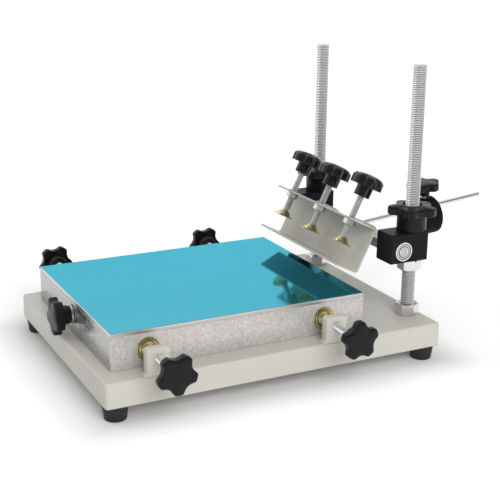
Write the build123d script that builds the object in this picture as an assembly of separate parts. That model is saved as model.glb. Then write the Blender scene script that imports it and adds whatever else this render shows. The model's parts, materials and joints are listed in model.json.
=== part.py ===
"""Tabletop screen printing press: a folded base on rubber feet, a platen that four side screws and one end
screw shift sideways and lengthwise, and a tilting frame clamp carried by two threaded posts.

Millimetres. +X is the right-hand side of the user, +Y runs from the user to the hinge posts, +Z is up.
Everything is built about the centre of the base, with z = 0 at the soles of the feet, and is moved along Y
at the end, so that the origin lies under the middle of the whole press.
"""
import os
from math import cos, pi, radians, sin

from build123d import *

# ---------------------------------------------------------------- driving dimensions
# base tray and feet
base_length = 400.0
side_margin = 27.5
base_height = 27.0
base_sheet = 2.0
base_corner_radius = 4.0
base_edge_radius = 2.5
base_lip = 26.0
foot_height = 17.0
foot_top_radius = 14.0
foot_sole_radius = 11.5
foot_inset = 14.5
foot_screw_radius = 2.5
foot_head_radius = 4.5
foot_head_height = 3.0
foot_recess = 6.0
foot_nut_flats = 8.0
foot_nut_height = 4.0

# platen
platen_length = 298.0
platen_width = 241.0
platen_wall = 1.5
pan_height = 36.3
top_plate_thickness = 4.0
film_thickness = 0.2
film_margin = 0.8
platen_corner_radius = 1.5
platen_front_margin = 15.2

# M8 adjusting screws, their brackets and swivel pads
screw_radius = 4.0
screw_pitch = 1.25
thread_clearance = 0.05
bracket_width = 25.0
bracket_thickness = 10.0
bracket_rise = 29.0
bracket_corner_radius = 3.0
weld_leg = 3.5
front_bracket_setback = 41.0
rear_bracket_setback = 51.2
side_screw_rise = 19.0
side_screw_reach = 31.0
pad_radius = 12.5
pad_shoulder_radius = 8.2
pad_neck_radius = 5.6
pad_flange = 1.4
pad_shoulder_height = 4.0
pad_height = 7.5
pad_floor = 1.6

# knobs
star_knob_radius = 20.5
star_knob_valley = 13.0
star_knob_lobes = 5
star_knob_thickness = 9.0
star_hub_radius = 9.5
star_hub_length = 11.5
star_tip_fillet = 2.3
scalloped_knob_radius = 19.0
scalloped_knob_count = 8
scallop_radius = 4.6
scallop_depth = 2.6
scalloped_rim = 10.0
scalloped_dome = 5.0
scalloped_hub_radius = 9.5
scalloped_hub_length = 12.0
knob_edge = 1.2
knob_bore_depth = 14.0
knob_seat_clearance = 0.02

# lengthwise adjustment
end_screw_rise = 22.0
end_washer_radius = 11.0
end_washer_thickness = 1.8
inner_washer_radius = 8.0
inner_washer_thickness = 1.6
washer_hole_radius = 4.3
collar_radius = 8.0
collar_length = 6.0
end_screw_tail = 14.0
block_length_x = 30.0
block_length_y = 16.0
block_height = 30.0
block_setback = 34.0
key_width = 10.0
key_length = 16.0
key_clearance = 0.1
cross_travel = 5.0
keeper_size = 26.0
keeper_thickness = 3.0

# hinge posts and nuts (M16)
post_radius = 8.0
post_rise = 287.0
post_spacing = 207.0
post_inset = 16.0
post_tail = 22.0
post_hole_radius = 8.3
post_end_chamfer = 1.2
post_nut_flats = 24.0
post_nut_height = 13.0
post_washer_radius = 13.7
post_washer_thickness = 3.0

# hinge blocks and 608 bearings
block_width = 30.0
hinge_block_depth = 50.0
hinge_block_height = 34.0
hinge_block_rise = 67.0
block_behind_post = 14.0
block_chamfer = 1.0
axis_above_block = 13.2
axis_before_post = 18.5
bearing_radius = 11.0
bearing_bore = 4.0
bearing_width = 7.0
bearing_outer_wall = 1.7
bearing_inner_wall = 1.7
ball_radius = 1.95
ball_count = 7
ball_clearance = 0.05
shield_thickness = 0.5
shield_setback = 0.5
shield_clearance = 0.3
bearing_seat_clearance = 0.02

# star nuts on the posts
star_nut_hub_radius = 16.8
star_nut_hub_length = 15.0
star_nut_radius = 27.8
star_nut_valley = 20.5
star_nut_lobes = 6
star_nut_thickness = 14.5
star_nut_recess_radius = 10.8
star_nut_recess = 3.0
star_nut_tip_fillet = 3.0

# hinge shaft, clamp channel, rod and counterweight
shaft_radius = 9.0
shaft_neck_radius = 6.0
shaft_neck_clearance = 0.5
shaft_end_gap = 0.6
rest_tilt = 26.2
channel_length = 182.0
channel_height = 55.5
channel_depth = 31.5
channel_sheet = 2.0
channel_bend_radius = 4.0
axis_behind_web = 26.9
axis_above_flange = 44.3
hinge_plate_thickness = 6.0
hinge_plate_spacing = 84.0
hinge_plate_eye_radius = 13.0
hinge_plate_foot = 26.0
clamp_screw_spacing = 67.5
clamp_screw_setback = 22.0
clamp_screw_reach = 24.0
clamp_pad_gap = 20.0
clamp_screw_lifts = {"right": 2.5, "middle": -0.5, "left": 0.5}
clamp_hole_radius = 4.3
weld_nut_flats = 13.0
weld_nut_height = 6.5
rod_radius = 3.0
rod_length = 196.0
rod_rise = 5.7
rod_sink = 5.0
rod_nut_flats = 10.0
rod_nut_height = 5.0
weight_radius = 23.5
weight_length = 26.0
weight_drop = 10.8
weight_reach = 111.5
weight_edge = 1.5
lock_screw_radius = 3.0
lock_knob_gap = 1.5
lock_hub_radius = 7.2
lock_hub_length = 7.0

# ---------------------------------------------------------------- places that follow from them
base_width = platen_width + 2 * side_margin
base_top = foot_height + base_height
front_edge = -base_length / 2
rear_edge = base_length / 2
post_x = post_spacing / 2
post_y = rear_edge - post_inset
platen_y = front_edge + platen_front_margin + platen_length / 2
platen_front = platen_y - platen_length / 2
platen_side = platen_width / 2
front_bracket_y = platen_front + front_bracket_setback
rear_bracket_y = platen_front + platen_length - rear_bracket_setback
tapped_radius = screw_radius + thread_clearance
hinge_y = post_y - axis_before_post
hinge_z = base_top + hinge_block_rise + axis_above_block
block_inner_x = post_x - block_width / 2
block_outer_x = post_x + block_width / 2
web_back = -axis_behind_web
flange_low = -axis_above_flange
flange_high = flange_low + channel_height
clamp_screw_y = web_back - clamp_screw_setback
side_screw_z = base_top + side_screw_rise
end_screw_z = base_top + end_screw_rise
adjuster_y = platen_front + block_setback
end_hub_face = platen_front - inner_washer_thickness - end_washer_thickness
rod_tip_y = hinge_y + rod_length * cos(radians(rod_rise)) + rod_radius * sin(radians(rod_rise))
end_knob_y = end_hub_face - star_hub_length - star_knob_thickness
middle_y = (rod_tip_y + end_knob_y) / 2

SIDES = {"right": 1, "left": -1}
ENDS = {"front": front_bracket_y, "rear": rear_bracket_y}


# ---------------------------------------------------------------- shared shapes
def rod_of(radius, length):
    """A round bar from z = 0 up."""
    return extrude(Circle(radius), length)


def ring_of(outer, inner, height):
    return extrude(Circle(outer) - Circle(inner), height)


def hex_nut(flats, height, bore):
    """A nut from z = 0 up, with the corners turned off on both faces."""
    corner = flats / 2 / cos(pi / 6)
    turned = chamfer(rod_of(corner, height).edges(), (corner - flats / 2) * 0.8)
    return (extrude(RegularPolygon(corner, 6), height) & turned) - rod_of(bore, height)


def lobed_outline(radius, valley, lobes, tip_fillet):
    """A round outline with a hollow arc cut between each pair of lobes, and rounded tips."""
    hollow = radius * sin(pi / lobes)
    outline = Circle(radius) - [
        Rot(Z=360 / lobes * (i + 0.5)) * Pos(valley + hollow) * Circle(hollow) for i in range(lobes)
    ]
    return fillet(outline.vertices(), tip_fillet)


def star_knob(bore, hub_radius, hub_length):
    """A five-lobed hand knob: hub from z = 0, star above it, a blind bore for its screw."""
    plate = extrude(
        lobed_outline(star_knob_radius, star_knob_valley, star_knob_lobes, star_tip_fillet), star_knob_thickness
    )
    plate = chamfer(plate.edges().group_by(Axis.Z)[-1], knob_edge)
    hub = loft([Circle(hub_radius).face(), Pos(Z=hub_length) * Circle(hub_radius + 1.5).face()])
    return hub + Pos(Z=hub_length) * plate - rod_of(bore, knob_bore_depth)


def scalloped_knob():
    """A domed knob with shallow scallops round its rim: hub from z = 0, a blind bore for its screw."""
    r, rim, height = scalloped_knob_radius, scalloped_rim, scalloped_rim + scalloped_dome
    outline = Circle(r) - [
        Rot(Z=360 / scalloped_knob_count * i) * Pos(r + scallop_radius - scallop_depth) * Circle(scallop_radius)
        for i in range(scalloped_knob_count)
    ]
    outline = fillet(outline.vertices(), 0.9)
    crown_radius = (r**2 + scalloped_dome**2) / (2 * scalloped_dome)
    crown = Pos(Z=height - crown_radius) * Sphere(crown_radius)
    cap = chamfer(extrude(outline, rim + scalloped_dome).edges().group_by(Axis.Z)[0], 0.8) & crown
    hub = rod_of(scalloped_hub_radius, scalloped_hub_length)
    return hub + Pos(Z=scalloped_hub_length) * cap - rod_of(screw_radius + knob_seat_clearance, knob_bore_depth)


def swivel_pad():
    """A pressed cup that swivels on a screw's tip: its flat face at z = 0, its mouth at the top."""
    profile = Polyline(
        (0, 0),
        (pad_radius, 0),
        (pad_radius, pad_flange),
        (pad_shoulder_radius + 1.2, pad_shoulder_height - 1.0),
        (pad_shoulder_radius, pad_shoulder_height - 1.0),
        (pad_shoulder_radius - 0.8, pad_shoulder_height + 1.2),
        (pad_neck_radius, pad_height),
        (tapped_radius, pad_height),
        (tapped_radius, pad_floor),
        (0, pad_floor),
        close=True,
    )
    return revolve(Plane.XZ * make_face(profile), Axis.Z)


def along(direction, x, y, z):
    """Places a shape that was built up +Z so that it points along direction from x, y, z."""
    return Plane(origin=(x, y, z), z_dir=direction, x_dir=(0, 0, 1)).location


def save(node, *solids):
    """Writes one node, moved so that the origin lies under the middle of the press."""
    placed = [Pos(Y=-middle_y) * solid for solid in solids]
    shape = placed[0] if len(placed) == 1 else Compound(children=placed)
    export_step(shape, f"parts/{node}.step")


def corners(dx, dy):
    return [(sx * dx, sy * dy) for sx in (1, -1) for sy in (1, -1)]


# ---------------------------------------------------------------- base
def base_tray():
    """A folded tray, open below, with a lip turned inwards all round for the feet."""
    shell = extrude(RectangleRounded(base_width, base_length, base_corner_radius), base_height)
    shell = fillet(shell.edges().group_by(Axis.Z)[-1], base_edge_radius)
    hollow = Pos(Z=base_height / 2) * Box(
        base_width - 2 * base_sheet, base_length - 2 * base_sheet, base_height - 2 * base_sheet
    )
    window = extrude(RectangleRounded(base_width - 2 * base_lip, base_length - 2 * base_lip, base_corner_radius), 5)
    tray = shell - hollow - window
    for x, y in corners(base_width / 2 - foot_inset, base_length / 2 - foot_inset):
        tray -= Pos(x, y) * rod_of(foot_screw_radius + thread_clearance, base_sheet)
    for side in SIDES.values():
        tray -= Pos(side * post_x, post_y) * rod_of(post_hole_radius, base_height)
    slot = Box(key_length + 2 * (cross_travel + 1), key_width + 2 * key_clearance, base_height)
    tray -= Pos(0, adjuster_y, base_height) * slot
    return Pos(Z=foot_height) * tray


def rubber_foot():
    """A tapered foot, sole at z = 0, with a recess below for the head of its screw."""
    body = loft([Circle(foot_sole_radius).face(), Pos(Z=foot_height) * Circle(foot_top_radius).face()])
    body -= rod_of(foot_head_radius + 0.8, foot_recess)
    return body - rod_of(foot_screw_radius + thread_clearance, foot_height)


def foot_screw():
    head = Pos(Z=foot_recess - foot_head_height) * rod_of(foot_head_radius, foot_head_height)
    shank = foot_height - foot_recess + base_sheet + foot_nut_height + 2
    return chamfer(head.edges().group_by(Axis.Z)[0], 0.8) + Pos(Z=foot_recess) * rod_of(foot_screw_radius, shank)


def screw_bracket(side):
    """A flat bar welded on edge to the tray, flush with its side, with a tapped hole across it."""
    face = Rectangle(bracket_width, bracket_rise)
    face = Pos(Y=bracket_rise / 2) * fillet(face.vertices().group_by(Axis.Y)[-1], bracket_corner_radius)
    foot = bracket_width / 2 + weld_leg
    bead = make_face(Polyline((-foot, 0), (foot, 0), (0, weld_leg * 4), close=True))
    bead &= Pos(Y=weld_leg / 2) * Rectangle(2 * foot, weld_leg)
    plate = extrude(Plane.YZ * (face + bead), bracket_thickness)
    plate -= Plane.YZ * Pos(Y=side_screw_rise) * rod_of(tapped_radius, bracket_thickness)
    inner = side * base_width / 2 - (bracket_thickness if side > 0 else 0)
    return Pos(inner, 0, base_top) * plate


def build_base():
    save("base_tray", base_tray())
    feet = corners(base_width / 2 - foot_inset, base_length / 2 - foot_inset)
    save("rubber_feet", *[Pos(x, y) * rubber_foot() for x, y in feet])
    save("foot_screws", *[Pos(x, y) * foot_screw() for x, y in feet])
    nut = hex_nut(foot_nut_flats, foot_nut_height, foot_screw_radius + knob_seat_clearance)
    save("foot_nuts", *[Pos(x, y, foot_height + base_sheet) * nut for x, y in feet])
    save("screw_brackets", *[Pos(Y=y) * screw_bracket(side) for side in SIDES.values() for y in ENDS.values()])


def build_posts():
    bore = post_radius + thread_clearance
    nut = hex_nut(post_nut_flats, post_nut_height, bore)
    washer = ring_of(post_washer_radius, post_hole_radius, post_washer_thickness)
    under = base_top - base_sheet - post_washer_thickness
    post = chamfer(rod_of(post_radius, post_rise + post_tail).edges(), post_end_chamfer)
    for name, side in SIDES.items():
        save(f"hinge_post_{name}", Pos(side * post_x, post_y, base_top - post_tail) * post)
    places = [Pos(side * post_x, post_y) for side in SIDES.values()]
    save("post_base_nuts", *[at * Pos(Z=base_top) * nut for at in places])
    save("post_washers", *[at * Pos(Z=under) * washer for at in places])
    save("post_under_nuts", *[at * Pos(Z=under - post_nut_height) * nut for at in places])


# ---------------------------------------------------------------- platen and its end screw
def platen_pan():
    """A folded pan, upside down on the base, with a hole in its front wall for the end screw."""
    shell = extrude(RectangleRounded(platen_width, platen_length, platen_corner_radius), pan_height)
    inside = pan_height - platen_wall
    shell -= Pos(Z=inside / 2) * Box(platen_width - 2 * platen_wall, platen_length - 2 * platen_wall, inside)
    hole = along((0, 1, 0), 0, -platen_length / 2 - 1, end_screw_rise) * rod_of(washer_hole_radius, platen_wall + 2)
    return Pos(0, platen_y, base_top) * (shell - hole)


def build_platen():
    save("platen_pan", platen_pan())
    outline = RectangleRounded(platen_width, platen_length, platen_corner_radius)
    plate = chamfer(extrude(outline, top_plate_thickness).edges().group_by(Axis.Z)[-1], 0.4)
    save("platen_top_plate", Pos(0, platen_y, base_top + pan_height) * plate)
    sheet = Rectangle(platen_width - 2 * film_margin, platen_length - 2 * film_margin)
    film = extrude(sheet, film_thickness)
    save("protective_film", Pos(0, platen_y, base_top + pan_height + top_plate_thickness) * film)


def build_end_adjuster():
    """The end screw turns in the pan's front wall, held by washers and a collar, and threads into a block
    that is keyed in a cross slot of the tray."""
    block = Pos(Z=block_height / 2) * Box(block_length_x, block_length_y, block_height)
    block = chamfer(block.edges().filter_by(Axis.Z), 1.5)
    key_depth = base_sheet + 0.2
    block += Pos(Z=-key_depth / 2) * Box(key_length, key_width, key_depth)
    block -= along((0, 1, 0), 0, -block_length_y, end_screw_rise) * rod_of(tapped_radius, 2 * block_length_y)
    save("adjuster_block", Pos(0, adjuster_y, base_top) * block)
    keeper = extrude(RectangleRounded(keeper_size, keeper_size, 2), keeper_thickness)
    save("adjuster_keeper", Pos(0, adjuster_y, base_top - key_depth - keeper_thickness) * keeper)

    inward = (0, 1, 0)
    tail = adjuster_y + block_length_y / 2 + end_screw_tail
    shank_start = end_hub_face - knob_bore_depth
    screw = chamfer(rod_of(screw_radius, tail - shank_start).edges(), 0.8)
    save("lengthwise_screw", along(inward, 0, shank_start, end_screw_z) * screw)
    knob = star_knob(screw_radius + knob_seat_clearance, star_hub_radius, star_hub_length)
    save("lengthwise_knob", along((0, -1, 0), 0, end_hub_face, end_screw_z) * knob)
    bore = screw_radius + knob_seat_clearance
    outer = along(inward, 0, end_hub_face, end_screw_z) * ring_of(end_washer_radius, bore, end_washer_thickness)
    small = ring_of(inner_washer_radius, bore, inner_washer_thickness)
    save("lengthwise_washers", outer, along(inward, 0, platen_front - inner_washer_thickness, end_screw_z) * small)
    collar = chamfer(ring_of(collar_radius, bore, collar_length).edges().group_by(Axis.Z)[-1], 0.6)
    save("lengthwise_collar", along(inward, 0, platen_front + platen_wall, end_screw_z) * collar)


def build_side_adjusters():
    """Four screws with swivel pads that hold the platen from both sides."""
    hub_x = base_width / 2 + side_screw_reach
    pad, bore = swivel_pad(), screw_radius + knob_seat_clearance
    knob = star_knob(bore, star_hub_radius, star_hub_length)
    shank = chamfer(rod_of(screw_radius, hub_x + knob_bore_depth - platen_side - pad_floor).edges(), 0.8)
    for side_name, side in SIDES.items():
        outward = (side, 0, 0)
        for end_name, y in ENDS.items():
            where = f"{side_name}_{end_name}"
            save(f"side_pad_{where}", along(outward, side * platen_side, y, side_screw_z) * pad)
            start = side * (platen_side + pad_floor)
            save(f"side_screw_{where}", along(outward, start, y, side_screw_z) * shank)
            save(f"side_knob_{where}", along(outward, side * hub_x, y, side_screw_z) * knob)


# ---------------------------------------------------------------- hinge carriage
def hinge_block(side):
    """A block on its post, bored for the shaft, with a bearing seat in its outer face."""
    block = Pos(Y=block_behind_post - hinge_block_depth / 2, Z=hinge_block_height / 2) * Box(
        block_width, hinge_block_depth, hinge_block_height
    )
    block = chamfer(block.edges(), block_chamfer) - rod_of(post_hole_radius, hinge_block_height)
    axis = Pos(0, -axis_before_post, axis_above_block)
    through = rod_of(shaft_neck_radius + shaft_neck_clearance, block_width)
    seat = rod_of(bearing_radius + bearing_seat_clearance, bearing_width + 1)
    outward = (side, 0, 0)
    block -= axis * along(outward, -side * block_width / 2, 0, 0) * through
    block -= axis * along(outward, side * (block_width / 2 - bearing_width), 0, 0) * seat
    return Pos(side * post_x, post_y, base_top + hinge_block_rise) * block


def bearing_rings():
    """Outer ring, inner ring, shields and balls of one bearing, its inner face at z = 0."""
    groove_middle = (bearing_radius - bearing_outer_wall + bearing_bore + bearing_inner_wall) / 2
    groove = Pos(Z=bearing_width / 2) * Torus(groove_middle, ball_radius + ball_clearance)
    outer = ring_of(bearing_radius, bearing_radius - bearing_outer_wall, bearing_width) - groove
    inner = ring_of(bearing_bore + bearing_inner_wall, bearing_bore + knob_seat_clearance, bearing_width) - groove
    shield_bore = bearing_bore + bearing_inner_wall + shield_clearance
    shield = ring_of(bearing_radius - bearing_outer_wall, shield_bore, shield_thickness)
    shields = [
        Pos(Z=shield_setback) * shield,
        Pos(Z=bearing_width - shield_setback - shield_thickness) * shield,
    ]
    balls = [
        Rot(Z=360 / ball_count * i) * Pos(groove_middle, 0, bearing_width / 2) * Sphere(ball_radius)
        for i in range(ball_count)
    ]
    return outer, inner, shields, balls


def star_nut():
    """A lobed hand nut for a post: hub below, star above, a shallow recess round the thread on top."""
    hub = rod_of(star_nut_hub_radius, star_nut_hub_length)
    star = extrude(
        lobed_outline(star_nut_radius, star_nut_valley, star_nut_lobes, star_nut_tip_fillet), star_nut_thickness
    )
    star = chamfer(star.edges().group_by(Axis.Z)[-1], knob_edge)
    height = star_nut_hub_length + star_nut_thickness
    nut = hub + Pos(Z=star_nut_hub_length) * star - rod_of(post_radius + thread_clearance, height)
    return nut - Pos(Z=height - star_nut_recess) * rod_of(star_nut_recess_radius, star_nut_recess)


def build_carriage():
    outers, inners, shields, balls = [], [], [], []
    for name, side in SIDES.items():
        save(f"hinge_block_{name}", hinge_block(side))
        seat = along((side, 0, 0), side * (block_outer_x - bearing_width), hinge_y, hinge_z)
        outer, inner, shield_pair, ball_set = bearing_rings()
        outers.append(seat * outer)
        inners.append(seat * inner)
        shields += [seat * shield for shield in shield_pair]
        balls += [seat * ball for ball in ball_set]
        bottom = base_top + hinge_block_rise
        nut = hex_nut(post_nut_flats, post_nut_height, post_radius + thread_clearance)
        save(f"star_nut_{name}", Pos(side * post_x, post_y, bottom + hinge_block_height) * star_nut())
        save(f"support_nut_{name}", Pos(side * post_x, post_y, bottom - post_nut_height) * nut)
    save("bearing_outer_rings", *outers)
    save("bearing_inner_rings", *inners)
    save("bearing_shields", *shields)
    save("bearing_balls", *balls)


# ---------------------------------------------------------------- frame clamp, built about the hinge axis
# Here y runs back from the clamp's web and z runs up along it. tilted() leans it to the pose it rests in.
def tilted(shape):
    return Pos(0, hinge_y, hinge_z) * Rot(X=-rest_tilt) * shape


def clamp_channel():
    """A folded channel with its mouth towards the user, and a screw hole over each weld nut."""
    middle_z = (flange_low + flange_high) / 2
    outside = Pos(web_back - channel_depth / 2, middle_z) * Rectangle(channel_depth, channel_height)
    outside = fillet(outside.vertices().group_by(Axis.X)[-1], channel_bend_radius)
    inside = Pos(web_back - channel_sheet - channel_depth / 2, middle_z) * Rectangle(
        channel_depth, channel_height - 2 * channel_sheet
    )
    inside = fillet(inside.vertices().group_by(Axis.X)[-1], channel_bend_radius - channel_sheet)
    channel = extrude(Plane.YZ * (outside - inside), channel_length / 2, both=True)
    for x in clamp_screw_places().values():
        channel -= Pos(x, clamp_screw_y, flange_high - channel_sheet - 1) * rod_of(clamp_hole_radius, channel_sheet + 2)
    return channel


def clamp_screw_places():
    return {"right": clamp_screw_spacing, "middle": 0.0, "left": -clamp_screw_spacing}


def hinge_plate():
    """A flat plate welded to the back of the web, with an eye round the hinge shaft."""
    foot = Pos(web_back + 1, 0) * Rectangle(2, hinge_plate_foot)
    outline = make_hull((foot + Circle(hinge_plate_eye_radius)).edges()) - Circle(shaft_radius + knob_seat_clearance)
    return extrude(Plane.YZ * outline, hinge_plate_thickness / 2, both=True)


def rod_frame():
    """The rod's own axes: z along the rod, measured from the hinge axis, and y up."""
    lean = radians(rod_rise + rest_tilt)
    return Plane(origin=(0, 0, 0), x_dir=(-1, 0, 0), z_dir=(0, cos(lean), sin(lean))).location


def hinge_shaft():
    """A bar between the blocks, stepped down for the block bores and again for the bearings."""
    shoulder = block_inner_x - shaft_end_gap
    neck_end = block_outer_x - bearing_width
    shaft = along((1, 0, 0), -shoulder, 0, 0) * rod_of(shaft_radius, 2 * shoulder)
    shaft += along((1, 0, 0), -neck_end, 0, 0) * rod_of(shaft_neck_radius, 2 * neck_end)
    journal = chamfer(rod_of(bearing_bore, 2 * block_outer_x).edges(), 0.5)
    shaft += along((1, 0, 0), -block_outer_x, 0, 0) * journal
    return shaft - rod_frame() * Pos(Z=-rod_sink) * rod_of(rod_radius + knob_seat_clearance, 2 * shaft_radius)


def build_clamp():
    save("clamp_channel", tilted(clamp_channel()))
    save("hinge_shaft", tilted(hinge_shaft()))
    plates = [Pos(X=side * hinge_plate_spacing / 2) * hinge_plate() for side in SIDES.values()]
    save("hinge_plates", *[tilted(plate) for plate in plates])
    under_flange = flange_high - channel_sheet - weld_nut_height
    nut = Pos(0, clamp_screw_y, under_flange) * hex_nut(weld_nut_flats, weld_nut_height, tapped_radius)
    save("clamp_weld_nuts", *[tilted(Pos(X=x) * nut) for x in clamp_screw_places().values()])
    rod = chamfer(rod_of(rod_radius, rod_length + rod_sink).edges(), 0.5)
    save("counterweight_rod", tilted(rod_frame() * Pos(Z=-rod_sink) * rod))
    jam_nut = hex_nut(rod_nut_flats, rod_nut_height, rod_radius + knob_seat_clearance)
    save("rod_jam_nut", tilted(rod_frame() * Pos(Z=shaft_radius) * jam_nut))


def build_clamp_screws():
    """Three screws through the weld nuts, each with a swivel pad below and a scalloped knob on top."""
    pad_z = flange_low + channel_sheet + clamp_pad_gap
    hub_z = flange_high + clamp_screw_reach
    screw_z = pad_z + pad_floor
    shank = chamfer(rod_of(screw_radius, hub_z + knob_bore_depth - screw_z).edges(), 0.8)
    pad, knob = swivel_pad(), scalloped_knob()
    for name, x in clamp_screw_places().items():
        at = Pos(x, clamp_screw_y, clamp_screw_lifts[name])
        save(f"clamp_pad_{name}", tilted(at * Pos(Z=pad_z) * pad))
        save(f"clamp_screw_{name}", tilted(at * Pos(Z=screw_z) * shank))
        save(f"clamp_knob_{name}", tilted(at * Pos(Z=hub_z) * knob))


def build_counterweight():
    """A short cylinder hung off-centre on the rod, locked by a star knob from above."""
    weight = chamfer(rod_of(weight_radius, weight_length).edges(), weight_edge)
    weight = Pos(Y=-weight_drop, Z=-weight_length / 2) * weight
    weight -= Pos(Z=-weight_length) * rod_of(rod_radius + thread_clearance, 2 * weight_length)
    weight -= along((0, 1, 0), 0, 0, 0) * rod_of(lock_screw_radius + thread_clearance, weight_radius)
    at = rod_frame() * Pos(Z=weight_reach)
    save("counterweight", tilted(at * weight))
    top = weight_radius - weight_drop + lock_knob_gap
    tip = rod_radius + thread_clearance
    screw = chamfer(rod_of(lock_screw_radius, top + knob_bore_depth - tip).edges(), 0.4)
    save("counterweight_lock_screw", tilted(at * along((0, 1, 0), 0, tip, 0) * screw))
    knob = star_knob(lock_screw_radius + knob_seat_clearance, lock_hub_radius, lock_hub_length)
    save("counterweight_lock_knob", tilted(at * along((0, 1, 0), 0, top, 0) * knob))


os.makedirs("parts", exist_ok=True)
build_base()
build_posts()
build_platen()
build_end_adjuster()
build_side_adjusters()
build_carriage()
build_clamp()
build_clamp_screws()
build_counterweight()
print(f"origin {middle_y:.3f} mm behind the middle of the base, hinge axis y {hinge_y - middle_y:.3f} z {hinge_z:.3f}")
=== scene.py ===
"""Looks of the tabletop screen printing press: threads, knobs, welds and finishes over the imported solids.

Laid out as a Blender add-on and run as a script. All lengths are metres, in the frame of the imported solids:
+X to the user's right, +Y from the user to the hinge posts, +Z up, and z = 0 at the soles of the feet.
"""
import json
from math import cos, pi, radians, sin, sqrt

import bmesh
import bpy
from bpy.props import FloatProperty, FloatVectorProperty, IntProperty, PointerProperty
from mathutils import Matrix, Vector

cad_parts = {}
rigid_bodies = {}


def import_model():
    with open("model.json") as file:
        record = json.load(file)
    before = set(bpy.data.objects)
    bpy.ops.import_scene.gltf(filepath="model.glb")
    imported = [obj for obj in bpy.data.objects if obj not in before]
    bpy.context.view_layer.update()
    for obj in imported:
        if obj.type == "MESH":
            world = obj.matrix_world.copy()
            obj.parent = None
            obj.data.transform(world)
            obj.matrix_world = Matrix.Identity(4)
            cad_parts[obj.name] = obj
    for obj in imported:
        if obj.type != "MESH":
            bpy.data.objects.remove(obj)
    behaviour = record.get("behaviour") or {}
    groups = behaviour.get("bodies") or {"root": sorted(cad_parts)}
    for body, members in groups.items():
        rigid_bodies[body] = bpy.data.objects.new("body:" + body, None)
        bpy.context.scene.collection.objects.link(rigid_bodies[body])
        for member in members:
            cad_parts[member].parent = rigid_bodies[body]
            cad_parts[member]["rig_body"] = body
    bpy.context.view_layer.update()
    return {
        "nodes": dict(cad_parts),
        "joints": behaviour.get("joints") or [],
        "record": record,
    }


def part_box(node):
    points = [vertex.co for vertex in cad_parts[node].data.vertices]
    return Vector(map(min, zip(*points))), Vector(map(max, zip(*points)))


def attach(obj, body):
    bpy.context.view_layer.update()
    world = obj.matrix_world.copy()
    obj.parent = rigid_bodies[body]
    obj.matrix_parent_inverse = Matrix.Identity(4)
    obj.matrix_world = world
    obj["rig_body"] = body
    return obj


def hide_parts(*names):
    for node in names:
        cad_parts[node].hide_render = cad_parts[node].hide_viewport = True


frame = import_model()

bl_info = {
    "name": "Screen Printing Press",
    "version": (1, 0, 0),
    "blender": (4, 5, 0),
    "location": "3D View > Sidebar > Press",
    "description": "Dresses the solids of a tabletop screen printing press and sets up its studio",
    "category": "Object",
}

SIDE_SCREWS = ("right_front", "right_rear", "left_front", "left_rear")
CLAMP_SCREWS = ("right", "middle", "left")
SIDES = ("right", "left")

MM = 0.001
ALONG_X, ALONG_Y, UP = (1, 0, 0), (0, 1, 0), (0, 0, 1)
SEAM = 2e-6  # points of a grown mesh that are nearer than this are one
SCREW_RADIUS, LOCK_SCREW_RADIUS = 0.004, 0.003
POST_NUT = {"flats": 0.024, "bore": 0.0081}
WELD_NUT = {"flats": 0.013, "bore": 0.0041, "height": 0.0065}
KNOB_HUB, LOCK_KNOB_HUB = (0.010, 0.0102), (0.0072, 0.0078)  # radius and length


# ------------------------ what a user would change
def colour(name, value, description):
    kind = {"size": 3, "min": 0, "max": 1, "subtype": "COLOR"}
    return FloatVectorProperty(name=name, description=description, default=value, **kind)


def length(name, value, description):
    return FloatProperty(name=name, description=description, default=value, min=0, unit="LENGTH", precision=5)


class PressSizes(bpy.types.PropertyGroup):
    post_pitch: length("Post pitch", 0.002, "Distance between the threads of the posts")
    screw_pitch: length("Screw pitch", 0.00125, "Distance between the threads of the adjusting screws")
    lock_pitch: length("Lock screw pitch", 0.001, "Distance between the threads of the lock screw")
    thread_depth: FloatProperty(
        name="Thread depth", description="Depth as a share of the pitch", default=0.58, min=0.1, max=0.7
    )
    sheet_edge: length("Sheet edge", 0.0005, "Rounding of the edges of folded sheet")
    block_edge: length("Block edge", 0.0006, "Rounding of the edges of the hinge blocks")
    weld_bead: length("Weld bead", 0.0016, "Radius of the weld beads at the brackets")
    lobe_segments: IntProperty(name="Knob segments", description="Faces round a knob", default=160, min=40)


class PressColours(bpy.types.PropertyGroup):
    paint: colour("Paint", (0.63, 0.615, 0.55), "Powder coat of the tray, brackets and clamp")
    galvanised: colour("Galvanised", (0.62, 0.585, 0.56), "Zinc of the platen's folded pan")
    # This colour shows only in the top millimetre of the plate's edge, as a painted highlight.
    plate_edge: colour("Plate edge", (0.80, 0.79, 0.77), "Bare edge of the top plate")
    film: colour("Film", (0.15, 0.495, 0.61), "Protective film over the platen")
    zinc: colour("Zinc", (0.80, 0.80, 0.79), "Bright plating of posts, nuts and screws")
    yellow_zinc: colour("Yellow zinc", (0.66, 0.58, 0.27), "Passivated plating of the swivel pads")
    plastic: colour("Plastic", (0.006, 0.006, 0.0065), "Moulded knobs and hand nuts")
    block: colour("Block", (0.008, 0.008, 0.009), "Hinge blocks and counterweight")
    rubber: colour("Rubber", (0.014, 0.014, 0.014), "Feet")


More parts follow.
